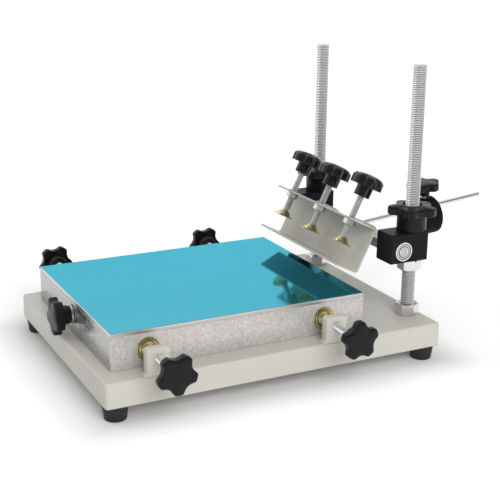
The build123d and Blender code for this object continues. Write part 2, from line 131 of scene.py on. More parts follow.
# ------------------------ nodes
class Graph:
    """Adds nodes to a tree. An input is a value, or a socket to link from."""

    def __init__(self, tree):
        self.tree = tree

    def add(self, kind, *inputs, out=0, named=None, **settings):
        node = self.tree.nodes.new(kind)
        for key, value in settings.items():
            setattr(node, key, value)
        for where, value in [*enumerate(inputs), *(named or {}).items()]:
            self.put(node.inputs[where], value)
        return node.outputs[out] if out is not None else node

    def put(self, socket, value):
        if isinstance(value, bpy.types.NodeSocket):
            self.tree.links.new(value, socket)
        elif value is not None:
            socket.default_value = value

    def math(self, operation, *inputs, clamp=False):
        return self.add("ShaderNodeMath", *inputs, operation=operation, use_clamp=clamp)

    def plus(self, first, second):
        return self.math("ADD", first, second)

    def minus(self, first, second):
        return self.math("SUBTRACT", first, second)

    def times(self, first, second, clamp=False):
        return self.math("MULTIPLY", first, second, clamp=clamp)

    def vector(self, operation, *inputs, out="Vector"):
        return self.add("ShaderNodeVectorMath", *inputs, operation=operation, out=out)

    def remap(self, value, low, high, to_low=0.0, to_high=1.0):
        return self.add("ShaderNodeMapRange", value, low, high, to_low, to_high)

    def noise(self, where, scale, detail, out=0, **more):
        named = {"Vector": where, "Scale": scale, "Detail": detail, **more}
        return self.add("ShaderNodeTexNoise", named=named, out=out)

    def here(self):
        """The shaded point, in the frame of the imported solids."""
        return self.add("ShaderNodeTexCoord", out="Object")

    def around(self, radius, angle, height):
        """The point at an angle about the Z axis."""
        across = self.times(radius, self.math("COSINE", angle))
        along = self.times(radius, self.math("SINE", angle))
        return self.add("ShaderNodeCombineXYZ", across, along, height)

    def joined(self, *parts):
        """Meshes in one, their rims merged where they meet."""
        join = self.add("GeometryNodeJoinGeometry", out=None)
        for part in parts:
            self.tree.links.new(part, join.inputs[0])
        return self.add("GeometryNodeMergeByDistance", join.outputs[0], named={"Distance": SEAM})

    def give(self, result, whole, material):
        """Ends a geometry tree with a real mesh of one material."""
        whole = self.add("GeometryNodeRealizeInstances", whole)
        self.put(result["Geometry"], self.add("GeometryNodeSetMaterial", whole, named={"Material": material}))

    def mix_colour(self, factor, first, second, blend="MIX"):
        node = self.add("ShaderNodeMix", out=None, data_type="RGBA", blend_type=blend)
        for where, value in ((0, factor), (6, first), (7, second)):
            self.put(node.inputs[where], value)
        return node.outputs[2]


def group(name, kind, inputs, outputs, build):
    """A node group with named sockets, built once."""
    tree = bpy.data.node_groups.get(name)
    if tree:
        return tree
    tree = bpy.data.node_groups.new(name, kind)
    for label, socket, value in inputs:
        made = tree.interface.new_socket(label, in_out="INPUT", socket_type=socket)
        if value is not None:
            made.default_value = value
    for label, socket in outputs:
        tree.interface.new_socket(label, in_out="OUTPUT", socket_type=socket)
    graph = Graph(tree)
    build(graph, graph.add("NodeGroupInput", out=None).outputs, graph.add("NodeGroupOutput", out=None).inputs)
    return tree


FLOAT, INT, VECTOR = "NodeSocketFloat", "NodeSocketInt", "NodeSocketVector"
GEOMETRY, MATERIAL = "NodeSocketGeometry", "NodeSocketMaterial"


# ------------------------ shared effects of the finishes
def edge_wear():
    """A mask that is 1 on outer edges and 0 on flats, broken up by noise."""

    def build(g, given, result):
        rounded = g.add("ShaderNodeBevel", given["Width"], samples=4)
        true = g.add("ShaderNodeNewGeometry", out=None).outputs["True Normal"]
        edge = g.remap(g.vector("DOT_PRODUCT", rounded, true, out="Value"), 0.995, 0.80)
        broken = g.noise(g.here(), given["Breakup"], 4.0)
        g.put(result["Mask"], g.times(edge, g.remap(broken, 0.35, 0.65), clamp=True))
        g.put(result["Rounded"], rounded)

    inputs = [("Width", FLOAT, 0.0008), ("Breakup", FLOAT, 300.0)]
    return group("Edge wear", "ShaderNodeTree", inputs, [("Mask", FLOAT), ("Rounded", VECTOR)], build)


def fine_grain():
    """Two sizes of noise: cloudy variation, and a fine grain for bump."""

    def build(g, given, result):
        where = g.here()
        g.put(result["Cloud"], g.remap(g.noise(where, given["Cloud scale"], 5.0), 0.3, 0.7))
        g.put(result["Grain"], g.noise(where, given["Grain scale"], 3.0))

    inputs = [("Cloud scale", FLOAT, 12.0), ("Grain scale", FLOAT, 900.0)]
    return group("Fine grain", "ShaderNodeTree", inputs, [("Cloud", FLOAT), ("Grain", FLOAT)], build)


def settled_dust():
    """A mask of dust that lies on faces that look up."""

    def build(g, given, result):
        normal = g.add("ShaderNodeNewGeometry", out=None).outputs["Normal"]
        up = g.add("ShaderNodeSeparateXYZ", normal, out="Z")
        patches = g.noise(g.here(), 45.0, 6.0, Roughness=0.7)
        lying = g.times(g.remap(up, 0.3, 0.9), g.remap(patches, 0.42, 0.72))
        g.put(result["Mask"], g.times(lying, given["Amount"], clamp=True))

    return group("Settled dust", "ShaderNodeTree", [("Amount", FLOAT, 0.3)], [("Mask", FLOAT)], build)


def zinc_spangle():
    """The crystals of hot-dip galvanising: a value for each crystal, and their speckle."""

    def build(g, given, result):
        where = g.here()
        shift = g.vector("SUBTRACT", g.noise(where, 160.0, 3.0, out="Color"), (0.5, 0.5, 0.5))
        warped = g.vector("ADD", where, g.vector("MULTIPLY", shift, (0.004, 0.004, 0.004)))
        cells = g.add("ShaderNodeTexVoronoi", named={"Vector": warped, "Scale": given["Scale"]}, out="Color")
        g.put(result["Crystal"], g.add("ShaderNodeSeparateColor", cells))
        g.put(result["Speckle"], g.remap(g.noise(where, 1100.0, 2.0), 0.35, 0.65))

    outputs = [("Crystal", FLOAT), ("Speckle", FLOAT)]
    return group("Zinc spangle", "ShaderNodeTree", [("Scale", FLOAT, 260.0)], outputs, build)


class Finish(Graph):
    """A material with its Principled BSDF, and what the finishes share."""

    def __init__(self, name, base, roughness, metallic=0.0, **more):
        self.material = bpy.data.materials.new(name)
        self.material.use_nodes = True
        super().__init__(self.material.node_tree)
        self.bsdf = self.tree.nodes["Principled BSDF"]
        self.base = (*base, 1.0)
        self.set("Base Color", self.base)
        self.set("Roughness", roughness)
        self.set("Metallic", metallic)
        for key, value in more.items():
            self.set(key.replace("_", " ").title().replace("Ior", "IOR"), value)

    def set(self, name, value):
        self.put(self.bsdf.inputs[name], value)

    def effect(self, tree, **inputs):
        node = self.add("ShaderNodeGroup", out=None, node_tree=tree)
        for key, value in inputs.items():
            self.put(node.inputs[key.replace("_", " ").capitalize()], value)
        return node.outputs

    def shade(self, mask, amount):
        """The base colour, darkened by up to amount where the mask is high."""
        dark = tuple(c * (1 - amount) for c in self.base[:3])
        return self.mix_colour(mask, self.base, (*dark, 1.0))

    def over(self, tone, mask, share, colour):
        """The tone with a colour laid over it, up to a share of the colour where the mask is high."""
        return self.mix_colour(self.times(mask, share), tone, (*colour, 1.0))

    def bump(self, height, distance, strength=1.0, normal=None):
        named = {"Strength": strength, "Distance": distance, "Height": height, "Normal": normal}
        self.set("Normal", self.add("ShaderNodeBump", named=named))


def paint(name="Greige powder coat", depth=1.0):
    """Powder coat: slight orange peel, brighter rubbed edges, a little dust."""
    # A depth below 1 darkens the coat as painted shade.
    f = Finish(name, tuple(c * depth for c in colours().paint), 0.42, coat_weight=0.15, coat_roughness=0.25)
    grain = f.effect(fine_grain(), cloud_scale=9.0, grain_scale=650.0)
    wear = f.effect(edge_wear(), width=0.0011, breakup=120.0)
    dust = f.effect(settled_dust(), amount=0.25)["Mask"]
    tone = f.shade(grain["Cloud"], 0.07)
    tone = f.mix_colour(dust, tone, (0.50, 0.49, 0.45, 1.0))
    f.set("Base Color", f.over(tone, wear["Mask"], 0.45, (0.78, 0.77, 0.73)))
    f.set("Roughness", f.remap(grain["Cloud"], 0.0, 1.0, 0.36, 0.50))
    f.bump(grain["Grain"], 0.00006, 0.5, wear["Rounded"])
    return f.material


def clamp_coat_painted_shade():
    """The tray's coat darkened to 85 percent, as painted shade on the clamp and hinge plates."""
    return paint("Greige clamp coat", 0.85)


def galvanised():
    """Hot-dip zinc: speckled crystals, brighter at the folds, and shinier on the end walls, whose colour is
    darkened there as painted shade.
    """
    f = Finish("Galvanised sheet", colours().galvanised, 0.4)
    zinc = f.effect(zinc_spangle(), scale=430.0)
    wear = f.effect(edge_wear(), width=0.0016, breakup=90.0)
    normal = f.add("ShaderNodeNewGeometry", out=None).outputs["True Normal"]
    lengthwise = f.math("ABSOLUTE", f.add("ShaderNodeSeparateXYZ", normal, out="Y"))
    end_wall = f.remap(lengthwise, 0.6, 0.9)
    tone = f.shade(zinc["Crystal"], 0.26)
    bright = (0.80, 0.78, 0.77)
    tone = f.over(tone, zinc["Speckle"], 0.45, bright)
    # Painted shade: the end walls are turned most of the way to dark grey.
    tone = f.over(tone, end_wall, 0.8, (0.40, 0.40, 0.40))
    f.set("Base Color", f.over(tone, wear["Mask"], 0.5, bright))
    f.set("Metallic", f.remap(end_wall, 0.0, 1.0, 0.35, 0.85))
    side = f.remap(zinc["Crystal"], 0.0, 1.0, 0.32, 0.50)
    f.set("Roughness", f.minus(side, f.times(end_wall, 0.16)))
    f.bump(zinc["Speckle"], 0.00005, 0.35, wear["Rounded"])
    return f.material


def plate_edge():
    """Sawn aluminium with fine marks along its length, darker grey below a painted highlight in its top
    millimetre.
    """
    f = Finish("Brushed plate edge", colours().plate_edge, 0.34, 0.9)
    where = f.here()
    along = f.add("ShaderNodeMapping", where, named={"Scale": (120.0, 120.0, 2600.0)})
    marks = f.noise(along, 1.0, 3.0)
    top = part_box("platen_top_plate")[1].z
    height = f.add("ShaderNodeSeparateXYZ", where, out="Z")
    # Painted highlight: only the top millimetre keeps the plate-edge colour; below it the edge is a darker
    # grey.
    below_highlight = f.remap(height, top - 0.0008, top - 0.0013)
    tone = f.shade(f.remap(marks, 0.35, 0.7), 0.16)
    f.set("Base Color", f.mix_colour(below_highlight, tone, (0.55, 0.525, 0.51, 1.0)))
    f.set("Roughness", f.remap(marks, 0.3, 0.7, 0.26, 0.42))
    f.bump(marks, 0.00004, 0.3)
    return f.material


def film():
    """Blue protective film pulled tight over the plate: a tinted mirror with faint ripples and lint."""
    f = Finish("Blue protective film", colours().film, 0.07, 0.96, coat_weight=0.12, coat_roughness=0.04)
    f.set("Specular Tint", (0.30, 0.78, 0.92, 1.0))
    grain = f.effect(fine_grain(), cloud_scale=6.0, grain_scale=70.0)
    lint = f.effect(settled_dust(), amount=0.05)["Mask"]
    tone = f.shade(grain["Cloud"], 0.05)
    f.set("Base Color", f.mix_colour(lint, tone, (0.35, 0.60, 0.70, 1.0)))
    f.set("Roughness", f.remap(grain["Cloud"], 0.0, 1.0, 0.06, 0.10))
    f.bump(grain["Grain"], 0.0004, 0.06)
    return f.material


def plating(name, base, low, high, tint=None, grit=0.18):
    """Electroplated steel: fine grain, cloudy shine and slightly dull patches."""
    f = Finish(name, base, low, 1.0)
    grain = f.effect(fine_grain(), cloud_scale=60.0, grain_scale=1500.0)
    tone = f.shade(grain["Grain"], grit)
    if tint:
        tone = f.mix_colour(grain["Cloud"], tone, (*tint, 1.0))
    f.set("Base Color", tone)
    f.set("Roughness", f.remap(grain["Cloud"], 0.0, 1.0, low, high))
    f.bump(grain["Grain"], 0.00002, grit * 1.6)
    return f.material


def zinc():
    """Bright plating."""
    return plating("Bright zinc", colours().zinc, 0.20, 0.34)


def threaded_zinc():
    """Plating 1.2 times as bright as the plain zinc, with painted shade in the thread grooves, from the mask
    that the thread's mesh holds.
    """
    f = Finish("Threaded zinc", tuple(c * 1.2 for c in colours().zinc), 0.28, 0.8)
    groove = f.add("ShaderNodeAttribute", attribute_name="groove", out="Fac")
    # Painted shade: the thread grooves are darkened by up to 62 percent.
    f.set("Base Color", f.shade(f.remap(groove, 0.30, 0.95), 0.62))
    f.set("Roughness", f.remap(groove, 0.0, 1.0, 0.24, 0.50))
    return f.material


def yellow_zinc():
    """Passivated plating with paler clouds."""
    return plating("Yellow zinc", colours().yellow_zinc, 0.18, 0.30, (0.50, 0.44, 0.24))


def turned_steel():
    """Bare turned steel."""
    return plating("Turned steel", (0.56, 0.56, 0.55), 0.25, 0.38)


def bearing_steel():
    """Ground steel."""
    return plating("Bearing steel", (0.74, 0.72, 0.71), 0.16, 0.26)


def shield_steel():
    """Pressed shield: a bright middle band between two dark rings about the hinge axis, painted shade for the
    shield's grooves.
    """
    f = Finish("Bearing shield", (0.46, 0.44, 0.43), 0.34, 1.0)
    from_axis = f.vector("SUBTRACT", f.here(), tuple(joint("clamp_tilt")["pos_m"]))
    radius = f.vector("LENGTH", f.vector("MULTIPLY", from_axis, (0.0, 1.0, 1.0)), out="Value")
    inner = f.remap(radius, 0.0066, 0.0063)
    outer = f.remap(radius, 0.0086, 0.0089)
    # Painted shade: the two rings are darkened by 88 percent.
    f.set("Base Color", f.shade(f.math("MAXIMUM", inner, outer), 0.88))
    return f.material


def moulded(name, roughness, coat, texture, depth):
    """Black moulded plastic: fine mould texture, paler rubbed patches and a trace of dust."""
    shine = {"coat_weight": coat, "coat_roughness": 0.08, "specular_ior_level": 0.2}
    f = Finish(name, colours().plastic, roughness, **shine)
    grain = f.effect(fine_grain(), cloud_scale=40.0, grain_scale=texture)
    dust = f.effect(settled_dust(), amount=0.08)["Mask"]
    rubbed = f.over(f.base, grain["Cloud"], 0.4, (0.011, 0.011, 0.012))
    f.set("Base Color", f.mix_colour(dust, rubbed, (0.045, 0.045, 0.044, 1.0)))
    f.set("Roughness", f.remap(grain["Cloud"], 0.0, 1.0, roughness - 0.05, roughness + 0.06))
    f.bump(grain["Grain"], depth, 0.35)
    return f.material


def knob_plastic():
    """Satin plastic of the star knobs and hand nuts."""
    return moulded("Satin knob plastic", 0.34, 0.0, 1400.0, 0.00004)


def phenolic():
    """Glossy resin of the clamp screws' knobs."""
    return moulded("Glossy phenolic", 0.14, 0.35, 300.0, 0.00001)


def block_finish(name, roughness, gloss):
    """Black oxide or anodising with rubbed edges."""
    f = Finish(name, colours().block, roughness, specular_ior_level=gloss)
    grain = f.effect(fine_grain(), cloud_scale=30.0, grain_scale=1300.0)
    wear = f.effect(edge_wear(), width=0.0009, breakup=160.0)
    tone = f.over(f.base, grain["Cloud"], 0.5, (0.013, 0.013, 0.014))
    f.set("Base Color", f.over(tone, wear["Mask"], 0.35, (0.06, 0.06, 0.06)))
    f.set("Roughness", f.remap(grain["Cloud"], 0.0, 1.0, roughness - 0.06, roughness + 0.08))
    f.bump(grain["Grain"], 0.00004, 0.4, wear["Rounded"])
    return f.material


def black_block():
    """Anodised hinge block."""
    return block_finish("Black anodised block", 0.38, 0.1)


def black_weight():
    """Blackened counterweight."""
    return block_finish("Black counterweight", 0.50, 0.04)


def rubber():
    """Moulded rubber, dull, with dust in its pores."""
    f = Finish("Foot rubber", colours().rubber, 0.68)
    grain = f.effect(fine_grain(), cloud_scale=50.0, grain_scale=1700.0)
    f.set("Base Color", f.over(f.base, grain["Cloud"], 0.5, (0.035, 0.035, 0.034)))
    f.bump(grain["Grain"], 0.00008, 0.5)
    return f.material


def weld_metal():
    """Painted weld bead: the coat of the tray, over a lumpy surface."""
    f = Finish("Painted weld", colours().paint, 0.45)
    grain = f.effect(fine_grain(), cloud_scale=300.0, grain_scale=900.0)
    f.set("Base Color", f.shade(grain["Cloud"], 0.18))
    f.bump(grain["Cloud"], 0.0003, 0.6)
    return f.material


MADE = {}


def finish(maker):
    """The material of a maker, made once."""
    if maker.__name__ not in MADE:
        MADE[maker.__name__] = maker()
    return MADE[maker.__name__]


def colours():
    return bpy.context.scene.press_colours


def sizes():
    return bpy.context.scene.press_sizes


# ------------------------ geometry trees
def thread_tree():
    """A threaded bar up +Z: a helical V thread that runs out at both chamfered ends, closed by caps."""

    def build(g, given, result):
        turns = g.plus(g.math("CEIL", g.math("DIVIDE", given["Length"], given["Pitch"])), 2.0)
        count = g.plus(g.times(turns, given["Segments"]), 1.0)
        rows = 7  # points across one turn of the thread
        grid = g.add("GeometryNodeMeshGrid", 1.0, 1.0, count, rows)
        place = g.add("ShaderNodeSeparateXYZ", g.add("GeometryNodeInputPosition"), out=None).outputs
        turn = g.times(g.plus(place["X"], 0.5), turns)
        across = g.plus(place["Y"], 0.5)
        angle = g.times(turn, 2 * pi)
        height = g.times(g.plus(g.minus(turn, 1.0), across), given["Pitch"])
        height = g.math("MINIMUM", g.math("MAXIMUM", height, 0.0), given["Length"])
        centred = g.math("ABSOLUTE", g.minus(g.times(across, 2.0), 1.0))
        groove = g.remap(g.minus(1.0, centred), 0.2, 0.8)
        root = g.minus(given["Radius"], given["Depth"])
        to_end = g.math("MINIMUM", height, g.minus(given["Length"], height))
        radius = g.minus(given["Radius"], g.times(groove, given["Depth"]))
        radius = g.math("MINIMUM", radius, g.plus(root, to_end))
        # The groove share is kept on the mesh for the painted shade in the thread grooves.
        marked = g.add("GeometryNodeStoreNamedAttribute", grid, named={"Name": "groove", "Value": groove})
        thread = g.add("GeometryNodeSetPosition", marked, None, g.around(radius, angle, height))
        disc = g.add("GeometryNodeMeshCircle", given["Segments"], root, fill_type="NGON")
        lower = g.add("GeometryNodeFlipFaces", disc)
        lift = g.add("ShaderNodeCombineXYZ", 0.0, 0.0, given["Length"])
        upper = g.add("GeometryNodeTransform", named={"Geometry": disc, "Translation": lift})
        g.give(result, g.joined(upper, lower, thread), given["Material"])

    inputs = [
        ("Radius", FLOAT, 0.004), ("Depth", FLOAT, 0.0007), ("Pitch", FLOAT, 0.00125), ("Length", FLOAT, 0.05),
        ("Segments", INT, 24), ("Material", MATERIAL, None),
    ]
    return group("Threaded bar", "GeometryNodeTree", inputs, [("Geometry", GEOMETRY)], build)


def nut_tree():
    """A hex nut up +Z: flats trimmed by a cone at both faces, and a bore with chamfered mouths."""

    def build(g, given, result):
        columns, rows = 97, 26
        lip = 0.12  # share of the grid that each chamfered mouth takes
        mouth_end = 0.34  # share of a lip that the bore's chamfer takes
        grid = g.add("GeometryNodeMeshGrid", 1.0, 1.0, columns, rows)
        place = g.add("ShaderNodeSeparateXYZ", g.add("GeometryNodeInputPosition"), out=None).outputs
        round_share = g.plus(place["X"], 0.5)
        angle = g.times(round_share, 2 * pi)
        step = g.plus(place["Y"], 0.5)
        half = g.times(given["Flats"], 0.5)
        folded = g.minus(g.math("FLOORED_MODULO", angle, pi / 3), pi / 6)
        hexagon = g.math("DIVIDE", half, g.math("COSINE", folded))
        height = g.times(g.remap(step, lip, 1 - lip), given["Height"])
        to_face = g.math("MINIMUM", height, g.minus(given["Height"], height))
        cone = g.plus(g.times(half, 0.965), g.times(to_face, 1.9))
        outer = g.math("MINIMUM", hexagon, cone)
        to_edge = g.math("MINIMUM", step, g.minus(1.0, step))
        from_bore = g.times(to_edge, 1 / lip, clamp=True)
        mouth = g.times(given["Bore"], 1.09)
        sink = g.minus(mouth, given["Bore"])
        inner = g.remap(from_bore, 0.0, mouth_end, given["Bore"], mouth)
        radius = g.remap(from_bore, mouth_end, 1.0, inner, outer)
        sunk = g.times(g.minus(1.0, g.remap(from_bore, 0.0, mouth_end)), sink)
        inward = g.math("SIGN", g.minus(0.5, step))
        height = g.plus(height, g.times(sunk, inward))
        nut = g.add("GeometryNodeSetPosition", grid, None, g.around(radius, angle, height))
        wall = g.add("GeometryNodeMeshGrid", 1.0, 1.0, columns, 2)
        turned = g.times(round_share, -2 * pi)
        low_high = g.remap(step, 0.0, 1.0, sink, g.minus(given["Height"], sink))
        bore = g.add("GeometryNodeSetPosition", wall, None, g.around(given["Bore"], turned, low_high))
        g.give(result, g.joined(bore, nut), given["Material"])

    inputs = [
        ("Flats", FLOAT, 0.024), ("Height", FLOAT, 0.013), ("Bore", FLOAT, 0.008), ("Material", MATERIAL, None),
    ]
    return group("Hex nut", "GeometryNodeTree", inputs, [("Geometry", GEOMETRY)], build)


def weld_tree():
    """A weld bead along a line: overlapping lens-shaped ripples."""

    def build(g, given, result):
        line = g.add("GeometryNodeCurvePrimitiveLine", given["Start"], given["End"])
        spaced = g.add("GeometryNodeResampleCurve", line, out=None)
        spaced.mode = "LENGTH"
        g.put(spaced.inputs["Length"], g.times(given["Radius"], 0.8))
        drop = g.add("GeometryNodeMeshIcoSphere", given["Radius"], 2)
        sway = g.add("FunctionNodeRandomValue", data_type="FLOAT", named={"Seed": 4}, out=1)
        size = g.plus(0.9, g.times(sway, 0.2))
        named = {"Instance": drop, "Scale": size}
        beads = g.add("GeometryNodeInstanceOnPoints", spaced.outputs[0], named=named)
        g.give(result, beads, given["Material"])

    inputs = [
        ("Start", VECTOR, None), ("End", VECTOR, None), ("Radius", FLOAT, 0.0015), ("Material", MATERIAL, None),
    ]
    return group("Weld bead", "GeometryNodeTree", inputs, [("Geometry", GEOMETRY)], build)


def grown(tree, **values):
    """The plain mesh that a geometry tree gives with these inputs."""
    holder = bpy.data.objects.new("growing", bpy.data.meshes.new("growing"))
    bpy.context.scene.collection.objects.link(holder)
    modifier = holder.modifiers.new("Tree", "NODES")
    modifier.node_group = tree
    for item in tree.interface.items_tree:
        if item.item_type == "SOCKET" and item.in_out == "INPUT" and item.name.lower() in values:
            modifier[item.identifier] = values[item.name.lower()]
    holder.update_tag()
    bpy.context.view_layer.update()
    evaluated = holder.evaluated_get(bpy.context.evaluated_depsgraph_get())
    mesh = bpy.data.meshes.new_from_object(evaluated)
    holder.modifiers.remove(modifier)
    bpy.data.objects.remove(holder)
    if not mesh.polygons:
        raise RuntimeError(f"{tree.name} made nothing")
    return mesh


# ------------------------ meshes
def crease(mesh, angle=0.6):
    """Shades the mesh smooth, with sharp edges where its faces meet at more than the angle."""
    work = bmesh.new()
    work.from_mesh(mesh)
    for face in work.faces:
        face.smooth = True
    for edge in work.edges:
        edge.smooth = not (edge.is_manifold and edge.calc_face_angle() > angle)
    work.to_mesh(mesh)
    work.free()
    return mesh


def piece(name, mesh, material, body, slot, *nodes, at=None):
    """Adds a finished mesh as a piece that rides on a body and stands for CAD nodes."""
    if at is not None:
        mesh = moved(mesh, at)
    mesh.materials.clear()
    mesh.materials.append(material)
    made = bpy.data.objects.new(name, mesh)
    bpy.context.scene.collection.objects.link(made)
    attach(made, body)
    if nodes:
        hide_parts(*nodes)
    return made


def merged(meshes):
    """One mesh of several."""
    work = bmesh.new()
    for mesh in meshes:
        work.from_mesh(mesh)
    result = bpy.data.meshes.new("merged")
    work.to_mesh(result)
    work.free()
    return result


def moved(mesh, matrix):
    """A moved copy of a mesh."""
    result = mesh.copy()
    result.transform(matrix)
    return result


def keep(maker, *nodes):
    """Gives CAD nodes that stay as they are a finish."""
    for name in nodes:
        mesh = frame["nodes"][name].data
        mesh.materials.clear()
        mesh.materials.append(finish(maker))


def stand_in(node, mesh, maker, at=None, kind="shape"):
    """A piece that stands for one CAD node, on the node's body."""
    body = frame["nodes"][node]["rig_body"]
    slot = next(s["material_slot"] for s in frame["record"]["subparts"] if s["node"] == node)
    return piece(f"{node}_{kind}", mesh, finish(maker), body, slot, node, at=at)


def rounded(node, maker, width=0.0, angle=0.5):
    """A merged and smoothed copy of a CAD node, its outer edges rounded, that stands for the node."""
    work = bmesh.new()
    work.from_mesh(frame["nodes"][node].data)
    bmesh.ops.remove_doubles(work, verts=work.verts, dist=1e-6)
    bmesh.ops.dissolve_limit(work, angle_limit=0.01, verts=work.verts, edges=work.edges)
    mesh = bpy.data.meshes.new(node)
    work.to_mesh(mesh)
    work.free()
    if width:
        holder = bpy.data.objects.new("rounding", mesh)
        bpy.context.scene.collection.objects.link(holder)
        bevel = holder.modifiers.new("Bevel", "BEVEL")
        bevel.width, bevel.segments = width, 3
        bevel.limit_method, bevel.angle_limit = "ANGLE", 0.9
        bpy.context.view_layer.update()
        mesh = bpy.data.meshes.new_from_object(holder.evaluated_get(bpy.context.evaluated_depsgraph_get()))
        bpy.data.objects.remove(holder)
    return stand_in(node, crease(mesh, angle), maker)


def axes(origin, z_dir, x_dir):
    """The matrix of a frame with its Z along z_dir, and its X as near x_dir as that lets."""
    z = Vector(z_dir).normalized()
    x = Vector(x_dir)
    x = (x - z * x.dot(z)).normalized()
    matrix = Matrix((x, z.cross(x), z)).transposed().to_4x4()
    matrix.translation = Vector(origin)
    return matrix


def joint(name):
    """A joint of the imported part."""
    return next(j for j in frame["joints"] if j["name"] == name)


def lie(node, joint_name, flip=False):
    """Where a node starts and ends along a joint's axis: its start point, its direction and its length."""
    found = joint(joint_name)
    direction = Vector(found["axis"]).normalized() * (-1 if flip else 1)
    origin = Vector(found["pos_m"])
    reach = [(vertex.co - origin).dot(direction) for vertex in frame["nodes"][node].data.vertices]
    return origin + direction * min(reach), direction, max(reach) - min(reach)


def hollowed(radius, valley, lobes, offset, reach=None, softness=3.0):
    """The outline of a lobed knob in polar form: a circle cut by an arc in each valley, its tips softened."""
    hollow = reach or radius * sin(pi / lobes)
    centre = valley + hollow

    def at(angle):
        nearest = (angle - offset) % (2 * pi / lobes)
        nearest = min(nearest, 2 * pi / lobes - nearest)
        inside = hollow**2 - (centre * sin(nearest)) ** 2
        if inside <= 0 or cos(nearest) <= 0:
            return radius
        return min(radius, centre * cos(nearest) - sqrt(inside))

    taps = range(-8, 9)
    spread = [radians(softness * k / 4) for k in taps]
    weights = [1 - abs(k) / 9 for k in taps]
    return lambda angle: sum(w * at(angle + s) for w, s in zip(weights, spread)) / sum(weights)


def lobed_mesh(profile, outline, rim, closed=False):
    """A body turned up +Z. Each ring of the profile is (radius, height, share of the lobes, least radius).
    A closed profile comes back to its start, for a body with a bore."""
    segments = sizes().lobe_segments
    work = bmesh.new()
    rings = []
    for radius, height, share, least in profile:
        ring = []
        for i in range(segments):
            angle = 2 * pi * i / segments
            reach = max(share * (outline(angle) - rim + radius) + (1 - share) * radius, least)
            ring.append(work.verts.new((reach * cos(angle), reach * sin(angle), height)))
        rings.append(ring)
    pairs = list(zip(rings, rings[1:] + rings[:1])) if closed else list(zip(rings, rings[1:]))
    for low, high in pairs:
        for i in range(segments):
            k = (i + 1) % segments
            work.faces.new((low[i], low[k], high[k], high[i]))
    if not closed:
        work.faces.new(list(reversed(rings[0])))
        work.faces.new(rings[-1])
    bmesh.ops.remove_doubles(work, verts=work.verts, dist=1e-7)
    bmesh.ops.recalc_face_normals(work, faces=work.faces)
    mesh = bpy.data.meshes.new("turned")
    work.to_mesh(mesh)
    work.free()
    return crease(mesh, 0.7)


def arc(radius, height, size, start, end, share, least=0.0, steps=5):
    """Rings round a fillet: centred at radius, height, of that size, from one angle to another in degrees."""
    angles = [radians(start + (end - start) * k / steps) for k in range(steps + 1)]
    return [(radius + size * cos(angle), height + size * sin(angle), share, least) for angle in angles]


def lathe(points):
    """A plain turned body of (radius, height) points in millimetres."""
    return lobed_mesh([(r / 1000, z / 1000, 0.0, 0.0) for r, z in points], lambda angle: 0.0, 0.0)


def star_knob(height, hub, hub_length):
    """A five-lobed knob: hub from z = 0, lobes hollowed behind, a softly domed face."""
    rim, valley = 0.0212, 0.0163
    wall = hub + 1.5 * MM
    profile = [(0.6 * hub, 0, 0, 0), (hub - 0.6 * MM, 0, 0, 0)]
    profile += [(hub, 0.6 * MM, 0, 0), (wall - 0.4 * MM, hub_length - 1.0 * MM, 0, 0)]
    profile += [(wall, hub_length + 2.2 * MM, 0, 0)]
    for inset, rise in ((5.0, 2.6), (3.0, 2.2), (2.4, 0.2), (1.9, 0.0)):
        profile.append((rim - inset * MM, hub_length + rise * MM, 1, wall))
    profile += arc(rim - 1.2 * MM, hub_length + 1.2 * MM, 1.2 * MM, -90, 0, 1, wall)
    profile += arc(rim - 2.4 * MM, height - 3.2 * MM, 2.4 * MM, 0, 78, 1)
    profile += [(rim - 5.5 * MM, height - 0.45 * MM, 1, 0), (rim - 9.0 * MM, height - 0.15 * MM, 0.8, 0)]
    profile += [(0.006, height - 0.02 * MM, 0.3, 0), (0.002, height, 0, 0)]
    return lobed_mesh(profile, hollowed(rim, valley, 5, pi / 5), rim)


def scalloped_knob(height):
    """A domed knob with seven shallow scallops: hub from z = 0."""
    rim = 0.019
    hub, skirt, edge = 9.5 * MM, 12.0 * MM, height - 5.0 * MM
    profile = [(0.5 * hub, 0, 0, 0), (hub - 0.7 * MM, 0, 0, 0)]
    profile += arc(hub - 0.7 * MM, 0.7 * MM, 0.7 * MM, -60, 0, 0)
    profile += [(hub, skirt - 0.5 * MM, 0, 0), (hub + 0.6 * MM, skirt, 0, 0), (rim - 1.8 * MM, skirt, 1, 0)]
    profile += arc(rim - 1.0 * MM, skirt + 1.0 * MM, 1.0 * MM, -80, 0, 1)
    profile += arc(rim - 2.2 * MM, edge - 1.4 * MM, 2.2 * MM, 0, 58, 1)
    dome = ((16.3, 0.75), (15.2, 0.45), (13.4, 0.15), (10.5, 0.0), (7.5, 0.0), (4.0, 0.0), (1.2, 0.0))
    for r, share in dome:
        profile.append((r * MM, edge + 5.0 * MM * sqrt(max(0.0, 1 - (r / 18.6) ** 2)) ** 1.15, share, 0))
    return lobed_mesh(profile, hollowed(rim, rim - 2.1 * MM, 7, 0.0, 6.5 * MM, 2.2), rim)


